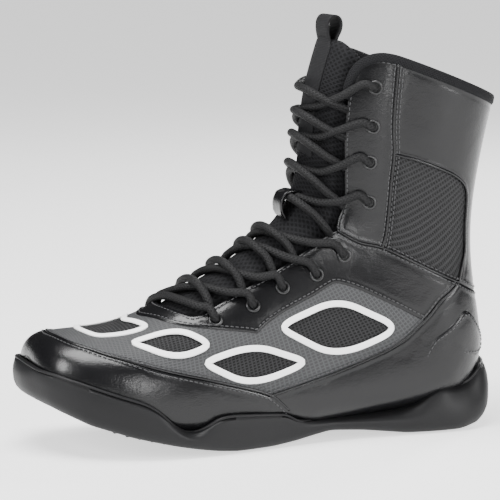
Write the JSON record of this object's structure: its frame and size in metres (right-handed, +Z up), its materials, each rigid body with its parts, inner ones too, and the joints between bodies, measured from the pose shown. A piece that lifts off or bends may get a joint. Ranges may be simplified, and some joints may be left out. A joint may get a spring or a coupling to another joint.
{
  "type": "boxing boot",
  "caption": "High-top laced boxing boot, left foot, with padded shaft, tongue, mesh vents and a wrapped rubber sole.",
  "frame": {"origin": "on the ground under the middle of the boot's length and width", "axes": "toe along -X, outer (lateral) side along -Y, +Z up"},
  "size_m": [0.2979, 0.1055, 0.2489],
  "materials": {
    "air_mesh": "air mesh with diamond holes, matt black",
    "backing_textile": "backing cloth",
    "board_fibre": "fibre board",
    "eyelet_lacquer": "small black lacquered eyelets",
    "foam": "soft foam",
    "knit": "ribbed knit binding, black",
    "lace_braid": "round braided cord, black",
    "leather_smooth": "smooth black coated leather, half gloss",
    "lining_textile": "brushed textile lining, black",
    "midsole_foam": "black EVA foam",
    "shank_steel": "spring steel strip",
    "sockliner_textile": "textile covered foam",
    "sole_rubber": "matt black moulded rubber",
    "stiffener": "thermoplastic stiffener sheet",
    "tongue_textile": "spacer mesh over foam, black",
    "vamp_textile": "fine woven ripstop, matt dark grey",
    "vent_mesh": "open square mesh, matt black",
    "webbing": "woven webbing, charcoal",
    "white_film": "raised white film, satin"
  },
  "bodies": {
    "boot": {"backing": "backing_textile", "collar_binding": "knit", "eyelets_lateral": "eyelet_lacquer", "eyelets_medial": "eyelet_lacquer", "heel_counter": "stiffener", "heel_panel_lateral": "leather_smooth", "heel_panel_medial": "leather_smooth", "heel_patch_lateral": "air_mesh", "heel_patch_medial": "air_mesh", "heel_wedge": "midsole_foam", "insole_board": "board_fibre", "lace": "lace_braid", "lining": "lining_textile", "outsole": "sole_rubber", "quarter_lateral": "leather_smooth", "quarter_medial": "leather_smooth", "shaft_eyestay_lateral": "leather_smooth", "shaft_eyestay_medial": "leather_smooth", "shaft_foam": "foam", "shaft_mesh_lateral": "air_mesh", "shaft_mesh_medial": "air_mesh", "shaft_panel_lateral": "leather_smooth", "shaft_panel_medial": "leather_smooth", "shank": "shank_steel", "sockliner": "sockliner_textile", "toe_foxing": "leather_smooth", "toe_puff": "stiffener", "vamp": "vamp_textile", "vent_mesh_front_lateral": "vent_mesh", "vent_mesh_front_medial": "vent_mesh", "vent_mesh_middle_lateral": "vent_mesh", "vent_mesh_middle_medial": "vent_mesh", "vent_mesh_rear_lateral": "vent_mesh", "vent_mesh_rear_medial": "vent_mesh", "vent_mesh_toe": "vent_mesh", "vent_rim_front_lateral": "white_film", "vent_rim_front_medial": "white_film", "vent_rim_middle_lateral": "white_film", "vent_rim_middle_medial": "white_film", "vent_rim_rear_lateral": "white_film", "vent_rim_rear_medial": "white_film", "vent_rim_toe": "white_film"},
    "tongue": {"lace_keeper": "leather_smooth", "tongue": "tongue_textile", "tongue_face": "tongue_textile", "tongue_webbing": "webbing"},
    "pull_loop": {"pull_loop": "webbing"}
  },
  "joints": [
    {"name": "tongue_swing", "type": "hinge", "parent": "boot", "child": "tongue", "pos_m": [-0.061, 0, 0.077], "axis": [0, 1, 0], "range_deg": [0, 8]},
    {"name": "pull_loop_flop", "type": "hinge", "parent": "tongue", "child": "pull_loop", "pos_m": [0.0485, 0, 0.2315], "axis": [0, 1, 0], "range_deg": [-55, 55]}
  ]
}
